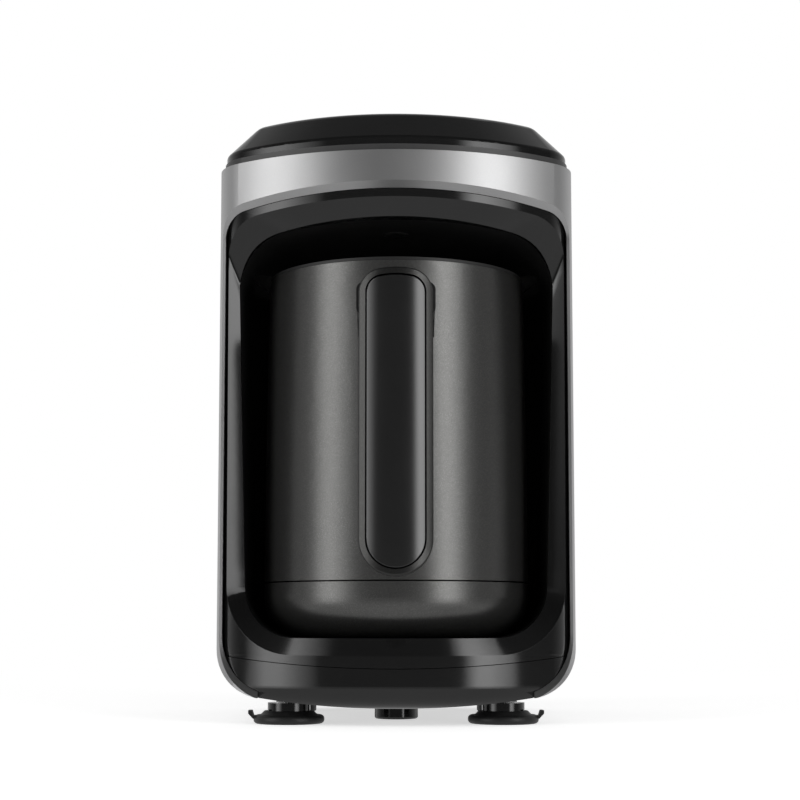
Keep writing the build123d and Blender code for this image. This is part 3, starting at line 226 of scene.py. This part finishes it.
def sparkle_lacquer(name, base, rough):
    """Anthracite metallic coat: cells of flake that catch the light one by one."""
    finish, wire = blank(name)
    place = object_place(wire)
    inputs = {"Vector": place, "Scale": FLAKE_SCALE}
    cells = wire.add("ShaderNodeTexVoronoi", {"feature": "F1"}, inputs, out="Color")
    grain = noise(wire, place, LACQUER_SCALE, detail=2.0, rough=0.7)
    chance = wire.add("ShaderNodeSeparateColor", (), {"Color": cells}, out="Red")
    flake = wire.add("ShaderNodeValToRGB", {"stops": FLAKE_STOPS}, {"Fac": chance})
    colour = tint(wire, flake, scaled(base, 0.85), scaled(base, 2.0))
    roughness = spread(rough, LACQUER_SPREAD, grain)
    shade(wire, colour, roughness, grain, LACQUER_RELIEF, Metallic=LACQUER_METAL)
    return finish


def spun_vessel(name, base, rim_base, rough):
    """Spun steel with fine rings about the pot's axis; its rolled rim is blackened."""
    finish, wire = blank(name)
    place = object_place(wire)
    centred = wire.add("ShaderNodeMapping", (), {"Vector": place, "Location": (0, -POT_Y * MM, 0)})
    about_axis = {"wave_type": "RINGS", "rings_direction": "Z"}
    inputs = {"Vector": centred, "Scale": RING_SCALE, "Distortion": 2.0, "Detail": 3.0, "Detail Scale": 4.0}
    rings = wire.add("ShaderNodeTexWave", about_axis, inputs, out="Fac")
    flat = wire.add("ShaderNodeVectorMath", {"operation": "MULTIPLY"}, {0: centred, 1: (1, 1, 0)})
    radius = wire.add("ShaderNodeVectorMath", {"operation": "LENGTH"}, {0: flat}, out="Value")
    rim = ramped(wire, radius, RIM_START * MM, RIM_FULL * MM)
    colour = tint(wire, rim, base, rim_base)
    roughness = rough + RING_DULLING * rings + RIM_DULLING * rim
    shade(wire, colour, roughness, rings, RING_RELIEF, Metallic=1 - RIM_METAL_LOSS * rim)
    return finish


NEUTRAL = (1.0, 1.0, 1.0)
COOL = (1.0, 1.0, 1.005)
WARM = (1.0, 0.995, 0.97)
ZINC = (0.55, 0.54, 0.52)
YELLOW_BRASS = (0.75, 0.52, 0.22)
BOARD_GREEN = (0.01, 0.09, 0.035)


def grey(level, tone=NEUTRAL):
    """Colour of one level with a slight tone."""
    return tuple(level * part for part in tone)


SILVER = satin_silver("satin_silver_casing", grey(0.52, COOL), rough=0.43, grain=3200.0)
STRIP_GREY = moulded_plastic("grey_lid_strip", grey(0.05), rough=0.4, grain=2400.0, relief=0.01)
GLOSS = gloss_plastic("gloss_black_casing", grey(0.005), rough=0.09, ior=1.58)
PANEL = gloss_plastic("gloss_black_panel", grey(0.006), rough=0.2, ior=1.75)
GLOSS_LID = gloss_plastic("gloss_black_lid", grey(0.006), rough=0.09)
CHAMBER = moulded_plastic("chamber_black", grey(0.0025), rough=0.68, grain=1800.0, relief=0.02)
DARK = moulded_plastic("inner_black", grey(0.012), rough=0.53, grain=1500.0, relief=0.02)
RUBBER = moulded_plastic("rubber_black", grey(0.012), rough=0.48, grain=900.0, relief=0.02)
POT_LACQUER = sparkle_lacquer("anthracite_pot", grey(0.125, WARM), rough=0.32)
TRIM_LACQUER = sparkle_lacquer("anthracite_handle", grey(0.05, WARM), rough=0.3)
STEEL = spun_vessel("steel_vessel", grey(0.62), grey(0.03), rough=0.22)
SCREWS = satin_silver("zinc_screws", ZINC, rough=0.3, grain=2600.0)
BRASS = satin_silver("brass_contacts", YELLOW_BRASS, rough=0.25, grain=2600.0)
ALUMINIUM = satin_silver("aluminium_plate", grey(0.6), rough=0.4, grain=1800.0)
BOARD = moulded_plastic("board_green", BOARD_GREEN, rough=0.38, grain=1200.0, relief=0.01)
SILICONE = moulded_plastic("silicone_grey", grey(0.3), rough=0.53, grain=900.0, relief=0.01)
LENS = gloss_plastic("smoked_lens", grey(0.02), rough=0.1)

# nodes that aren't named here are screws or plain dark mouldings
NODE_FINISHES = {
    "outer_shell": SILVER,
    "handle_trim": TRIM_LACQUER,
    "lid_trim": STRIP_GREY,
    "top_lid": GLOSS_LID,
    "front_bezel": GLOSS,
    "base_tray": GLOSS,
    "handle_panel": PANEL,
    "coffee_button": GLOSS,
    "milk_button": GLOSS,
    "slow_brew_button": GLOSS,
    "chamber_liner": CHAMBER,
    "pot_shell": POT_LACQUER,
    "pot_base_cap": POT_LACQUER,
    "pot_vessel": STEEL,
    "heat_plate": ALUMINIUM,
    "heating_element": ALUMINIUM,
    "thermostat": ALUMINIUM,
    "plug_pins": BRASS,
    "socket_contacts": BRASS,
    "suction_cups": RUBBER,
    "cup_posts": GLOSS,
    "rear_feet": RUBBER,
    "centre_foot": GLOSS,
    "cord_gland": RUBBER,
    "control_board": BOARD,
    "power_board": BOARD,
    "indicator_lenses": LENS,
    "sensor_window": LENS,
    "indicator_leds": SILICONE,
}
for node_name, node_object in NODES.items():
    node_finish = NODE_FINISHES.get(node_name, SCREWS if node_name.endswith("screws") else DARK)
    for slot in node_object.material_slots:
        slot.material = node_finish


# ---- making pieces ----
CREASE = 35.0  # degrees past which an edge stays sharp
SOFT_STEPS = 3  # across a softened edge
MERGE_GAP = 1e-7  # metres


def set_out(name, data):
    """New object in the scene."""
    thing = bpy.data.objects.new(name, data)
    bpy.context.scene.collection.objects.link(thing)
    return thing


def mesh_from(shape, name, finish):
    """Mesh of one finish from a modelled shape, which is used up."""
    mesh = bpy.data.meshes.new(name)
    shape.to_mesh(mesh)
    shape.free()
    mesh.materials.append(finish)
    return mesh


def settle(shape, name, body, finish, replaced):
    """Finished piece from a shape in the row frame, standing for CAD nodes."""
    mesh = mesh_from(shape, name, finish)
    for face in mesh.polygons:
        face.use_smooth = True
    mesh.set_sharp_from_angle(angle=math.radians(CREASE))
    piece = set_out(name, mesh)
    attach(piece, body)
    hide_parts(*replaced)
    return piece


def soften(piece, width):
    """Round the weighted edges of a piece by a width in millimetres."""
    bevel = piece.modifiers.new("soft_edges", "BEVEL")
    bevel.width = width * MM
    bevel.segments = SOFT_STEPS
    bevel.limit_method = "WEIGHT"
    bevel.harden_normals = True


# ---- front frame ----
BOW_R = 110.0  # radius of the casing's bowed face
BOW_Y = 46.0  # its axis
CORNER_R = 22.0  # where the face turns into the sides
CORNER_X, CORNER_Y = 53.0, -24.25
RECESS = 2.6  # the frame sits this far behind the silver's face
FRAME_T = 9.0
# half widths at the foot and head, heights, then radii of sill, crown, lower and upper corners
FRAME_EDGE = {
    "half_low": 71.85, "half_high": 71.85, "low": 23.15, "high": 217.35,
    "low_bow": 541.0, "high_bow": 440.0, "low_r": 0.6, "high_r": 9.75,
}
FACET_EDGE = {
    "half_low": 70.2, "half_high": 70.9, "low": 28.0, "high": 214.1,
    "low_bow": 3000.0, "high_bow": 440.0, "low_r": 28.0, "high_r": 15.0,
}
OPENING_EDGE = {
    "half_low": 62.4, "half_high": 66.9, "low": 35.0, "high": 206.4,
    "low_bow": 9000.0, "high_bow": 440.0, "low_r": 22.0, "high_r": 22.0,
}
SIDE_LEAN = 0.41  # how far the facet falls back for each step inwards, at the sides
EDGE_LEAN = 0.33  # and above and below
LEAN_FADE = 4  # power by which the lean fades round a corner
EDGE_ROUND = 0.45
ARCH_STEPS, CORNER_STEPS, SIDE_STEPS = 26, 14, 24  # along half a sill or crown, a corner, a side
STRIP_SHARES = (0.03, 0.12, 0.25, 0.4, 0.55, 0.7, 0.85, 0.97)
FACET_SHARES = (0.05, 0.5, 0.95)


def bow_depth(x, inset):
    """Depth of the casing's bow moved in by inset, at a distance from the middle plane."""
    return BOW_Y - math.sqrt((BOW_R - inset) ** 2 - x**2)


def face_depth(x, inset):
    """Depth of the casing's face moved in by inset: its bow, and the corners that end it."""
    x = abs(x)
    if x <= CORNER_X * BOW_R / (BOW_R - CORNER_R):
        return bow_depth(x, inset)
    return CORNER_Y - math.sqrt((CORNER_R - inset) ** 2 - (x - CORNER_X) ** 2)


def rounding(foot, side, centre, bow, radius, way):
    """A corner's rounding between a leaning side and an arch: its centre and where it ends on each."""
    inward = Vector((-side.y, side.x))
    start = foot + inward * radius
    reach = start - centre
    along = side.dot(reach)
    step = way * math.sqrt(along**2 - reach.length_squared + (bow - radius) ** 2) - along
    middle = start + side * step
    return middle, middle - inward * radius, centre + (middle - centre) * (bow / (bow - radius))


def swept(centre, start, end, count):
    """Points along an arc, without its last."""
    first, last = start - centre, end - centre
    return [centre + first.lerp(last, step / count).normalized() * first.length for step in range(count)]


def outline(half_low, half_high, low, high, low_bow, high_bow, low_r, high_r):
    """Ring of front-view points round an arched opening with leaning sides."""
    foot, head = Vector((half_low, low)), Vector((half_high, high))
    side = (head - foot).normalized()
    sill, crown = Vector((0, low + low_bow)), Vector((0, high - high_bow))
    low_middle, low_side, low_arch = rounding(foot, side, sill, low_bow, low_r, -1)
    high_middle, high_side, high_arch = rounding(foot, side, crown, high_bow, high_r, 1)
    right = swept(sill, Vector((0, low)), low_arch, ARCH_STEPS)
    right += swept(low_middle, low_arch, low_side, CORNER_STEPS)
    right += [low_side.lerp(high_side, step / SIDE_STEPS) for step in range(SIDE_STEPS)]
    right += swept(high_middle, high_side, high_arch, CORNER_STEPS)
    right += swept(crown, high_arch, Vector((0, high)), ARCH_STEPS) + [Vector((0, high))]
    return right + [Vector((-spot.x, spot.y)) for spot in reversed(right[1:-1])]


def between(first, last, share):
    """Ring part of the way from one ring to another."""
    return [a.lerp(b, share) for a, b in zip(first, last)]


def on_face(ring, inset):
    """Front-view ring laid on the casing's face moved in by inset."""
    return [Vector((spot.x, face_depth(spot.x, inset), spot.y)) for spot in ring]


def behind_face(ring, inset):
    """Front-view ring laid on the bow alone, which runs on past the corners."""
    return [Vector((spot.x, bow_depth(spot.x, inset), spot.y)) for spot in ring]


def leaning_back(ring, ridge):
    """Front-view ring behind a ridge, deeper the further it lies from it and less so round a corner."""
    leant = []
    for spot, before, here, after in zip(ring, ridge[-1:] + ridge[:-1], ridge, ridge[1:] + ridge[:1]):
        run = Vector((after.x - before.x, after.z - before.z)).normalized()
        gap = abs(run.x * (spot.y - here.z) - run.y * (spot.x - here.x))
        lean = SIDE_LEAN * run.y**LEAN_FADE + EDGE_LEAN * run.x**LEAN_FADE
        leant.append(Vector((spot.x, here.y + lean * gap, spot.y)))
    return leant


def skin(rings, rounded):
    """Closed skin over rings of equal counts; the rings numbered in rounded get soft edges."""
    around, along = len(rings[0]), len(rings)
    shape = bmesh.new()
    bmesh.ops.create_grid(shape, x_segments=around, y_segments=along, size=0.5)
    order = shape.verts.layers.int.new("order")
    for corner in shape.verts:
        column, row = round((corner.co.x + 0.5) * around), round((corner.co.y + 0.5) * along)
        corner[order] = row % along
        spot = rings[row % along][column % around]
        corner.co = (spot.x * MM, (spot.y + POT_Y) * MM, spot.z * MM)
    bmesh.ops.remove_doubles(shape, verts=shape.verts, dist=MERGE_GAP)
    weight = shape.edges.layers.float.new("bevel_weight_edge")
    for edge in shape.edges:
        first, last = (corner[order] for corner in edge.verts)
        edge[weight] = 1.0 if first == last and first in rounded else 0.0
    shape.verts.layers.int.remove(order)
    bmesh.ops.recalc_face_normals(shape, faces=shape.faces)
    return shape


def front_frame():
    """Gloss frame: bowed strip beside the silver, shallow facet, and a return into the chamber."""
    outer, edge, opening = outline(**FRAME_EDGE), outline(**FACET_EDGE), outline(**OPENING_EDGE)
    rings = [behind_face(outer, RECESS + FRAME_T), on_face(outer, RECESS)]
    rings += [on_face(between(outer, edge, share), RECESS) for share in STRIP_SHARES]
    ridge = on_face(edge, RECESS)
    mouth = leaning_back(opening, ridge)
    rings += [ridge] + [between(ridge, mouth, share) for share in FACET_SHARES]
    rings += [mouth, behind_face(opening, RECESS + FRAME_T)]
    rounded = (1, len(STRIP_SHARES) + 2, len(rings) - 2)  # the strip's outer edge, the ridge, the mouth
    piece = settle(skin(rings, rounded), "front_frame", "housing", GLOSS, ("front_bezel",))
    soften(piece, EDGE_ROUND)


front_frame()


# ---- key domes ----
DOME_HEAD_R = 3.5
DOME_WALL = 0.9
ROUND_STEPS = 48


def key_dome(key):
    """Soft silicone dome under a button."""
    low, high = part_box(key + "_key_dome")
    foot_r, height = (high.x - low.x) / 2 / MM, (high.z - low.z) / MM
    shape = bmesh.new()
    bmesh.ops.create_cone(
        shape, cap_ends=True, segments=ROUND_STEPS, radius1=foot_r, radius2=DOME_HEAD_R, depth=height
    )
    base = min(shape.faces, key=lambda face: face.calc_center_median().z)
    bmesh.ops.inset_region(shape, faces=[base], thickness=DOME_WALL, use_even_offset=True)
    bmesh.ops.translate(shape, verts=base.verts, vec=(0, 0, height - DOME_WALL))
    inner = (DOME_HEAD_R - DOME_WALL) / (foot_r - DOME_WALL)
    bmesh.ops.scale(shape, verts=base.verts, vec=(inner, inner, 1))
    bmesh.ops.scale(shape, verts=shape.verts, vec=(MM, MM, MM))
    bmesh.ops.translate(shape, verts=shape.verts, vec=(low + high) / 2)
    bmesh.ops.recalc_face_normals(shape, faces=shape.faces)
    piece = settle(shape, key + "_soft_dome", "housing", SILICONE, (key + "_key_dome",))
    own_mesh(piece)


for button in ("coffee", "milk", "slow_brew"):
    key_dome(button)


# ---- softboxes ----
BOX_AWAY, BOX_HEIGHT = 1.3, 0.45  # metres from the upright axis and above the floor
BOX_TALL = 0.95
AIM = (0, -0.03, 0.13)
# light across each box, from its left end to its right as seen from the front
RIGHT_GRADE = ((0.0, 0.0), (0.25, 1.0), (0.45, 1.0), (0.85, 0.5), (1.0, 0.0))
LEFT_GRADE = ((0.0, 0.0), (0.3, 1.0), (0.5, 1.0), (0.75, 0.45), (1.0, 0.05))


def softbox(name, azimuth, width, power, grade):
    """Rectangular softbox aimed at the object; azimuth 0 is in front, 90 to the right."""
    data = bpy.data.lights.new(name, "AREA")
    data.shape = "RECTANGLE"
    data.size, data.size_y = width, BOX_TALL
    data.energy = power
    wire = emptied_tree(data)
    spot = wire.add("ShaderNodeNewGeometry", out="Parametric")
    across = wire.add("ShaderNodeSeparateXYZ", (), {"Vector": spot}, out="X")
    level = wire.add("ShaderNodeValToRGB", {"stops": grade}, {"Fac": across})
    wire.add("ShaderNodeOutputLight", (), {"Surface": glow(wire, level)})
    angle = math.radians(azimuth)
    lamp = set_out(name, data)
    lamp.location = (BOX_AWAY * math.sin(angle), -BOX_AWAY * math.cos(angle), BOX_HEIGHT)
    lamp.rotation_euler = (Vector(AIM) - lamp.location).to_track_quat("-Z", "Y").to_euler()


softbox("right_box", azimuth=44.5, width=0.7, power=7.9, grade=RIGHT_GRADE)
softbox("left_box", azimuth=-55, width=0.95, power=8.2, grade=LEFT_GRADE)


# ---- room ----
BEHIND_START, BEHIND_FULL = -0.2, 0.7  # between these directions reflections brighten to the back
ROOM_LEVEL, BEHIND_LEVEL = 0.085, 0.7
CEILING_START, CEILING_FULL = 0.45, 0.9  # and between these they dim upwards
CEILING_SHARE = 0.2
FILL_LEVEL = 0.4  # what matt surfaces get


def studio_world():
    """White where it is seen; reflections find it brighter at the back and dimmer overhead."""
    world = bpy.data.worlds.new("studio")
    wire = emptied_tree(world)
    way = wire.add("ShaderNodeTexCoord", out="Generated")
    depth = wire.add("ShaderNodeSeparateXYZ", (), {"Vector": way}, out="Y")
    height = wire.add("ShaderNodeSeparateXYZ", (), {"Vector": way}, out="Z")
    behind = ramped(wire, depth, BEHIND_START, BEHIND_FULL, ROOM_LEVEL, BEHIND_LEVEL)
    ceiling = ramped(wire, height, CEILING_START, CEILING_FULL, 1.0, CEILING_SHARE)
    seen = wire.add("ShaderNodeLightPath", out="Is Camera Ray")
    mirrored = wire.add("ShaderNodeLightPath", out="Is Glossy Ray")
    level = seen + (1 - seen) * (mirrored * behind * ceiling + (1 - mirrored) * FILL_LEVEL)
    back = wire.add("ShaderNodeBackground", (), {"Color": WHITE, "Strength": level})
    wire.add("ShaderNodeOutputWorld", (), {"Surface": back})
    bpy.context.scene.world = world


studio_world()


# ---- floor ----
FLOOR_R, FLOOR_STEPS = 6.0, 96
FADE_START, FADE_FULL = 0.16, 0.7  # metres from the middle between which the table turns white
TABLE_PALE = (0.86, 0.86, 0.86, 1)
TABLE_GLOW = 0.6
GRAZE_START, GRAZE_FULL = 0.75, 0.92  # slants between which reflections lose the glow for a sheen
MIRRORED_LEVEL, GRAZE_LOSS = 0.52, 0.48
SHEEN_PALE = (0.95, 0.95, 0.95, 1)
SHEEN_ROUGH = 0.18


def floor():
    """Pale table that keeps the object's shadow and fades into the white behind."""
    shape = bmesh.new()
    bmesh.ops.create_circle(shape, cap_ends=True, segments=FLOOR_STEPS, radius=FLOOR_R)
    finish, wire = blank("pale_floor")
    place = object_place(wire)
    length = wire.add("ShaderNodeVectorMath", {"operation": "LENGTH"}, {0: place}, out="Value")
    far = ramped(wire, length, FADE_START, FADE_FULL, ease="SMOOTHSTEP")
    seen = wire.add("ShaderNodeLightPath", out="Is Camera Ray")
    table = wire.add("ShaderNodeBsdfDiffuse", (), {"Color": TABLE_PALE})
    near = wire.add("ShaderNodeAddShader", (), {0: table, 1: glow(wire, seen * TABLE_GLOW)})
    mirrored = wire.add("ShaderNodeLightPath", out="Is Glossy Ray")
    slant = wire.add("ShaderNodeLayerWeight", (), {"Blend": 0.5}, out="Facing")
    graze = ramped(wire, slant, GRAZE_START, GRAZE_FULL)
    below = glow(wire, MIRRORED_LEVEL - GRAZE_LOSS * graze)
    sheen = wire.add("ShaderNodeBsdfGlossy", (), {"Color": SHEEN_PALE, "Roughness": SHEEN_ROUGH})
    streak = wire.add("ShaderNodeMixShader", (), {0: graze, 2: sheen})
    polished = wire.add("ShaderNodeAddShader", (), {0: streak, 1: below})
    plain = wire.add("ShaderNodeMixShader", (), {0: far * seen, 1: near, 2: glow(wire, 1.0)})
    surface = wire.add("ShaderNodeMixShader", (), {0: mirrored, 1: plain, 2: polished})
    wire.add("ShaderNodeOutputMaterial", (), {"Surface": surface})
    plate = set_out("floor", mesh_from(shape, "floor", finish))


floor()


# ---- camera ----
CAMERA_LENS = 76.3
CAMERA_SHIFT = 0.07
CAMERA_BACK = 737.8  # in front of the pot's axis
CAMERA_HEIGHT = 41.7
CAMERA_PITCH = 5.58  # degrees upwards
CAMERA_SIDE = 1.6
CAMERA_NEAR = 0.01  # metres


def camera():
    """Nearly level view from the front."""
    data = bpy.data.cameras.new("camera")
    data.lens = CAMERA_LENS
    data.shift_y = CAMERA_SHIFT
    data.clip_start = CAMERA_NEAR
    eye = set_out("camera", data)
    eye.location = (CAMERA_SIDE * MM, (POT_Y - CAMERA_BACK) * MM, CAMERA_HEIGHT * MM)
    eye.rotation_euler = (math.radians(90 + CAMERA_PITCH), 0, 0)
    bpy.context.scene.camera = eye


camera()
bpy.context.scene.view_settings.view_transform = "Standard"
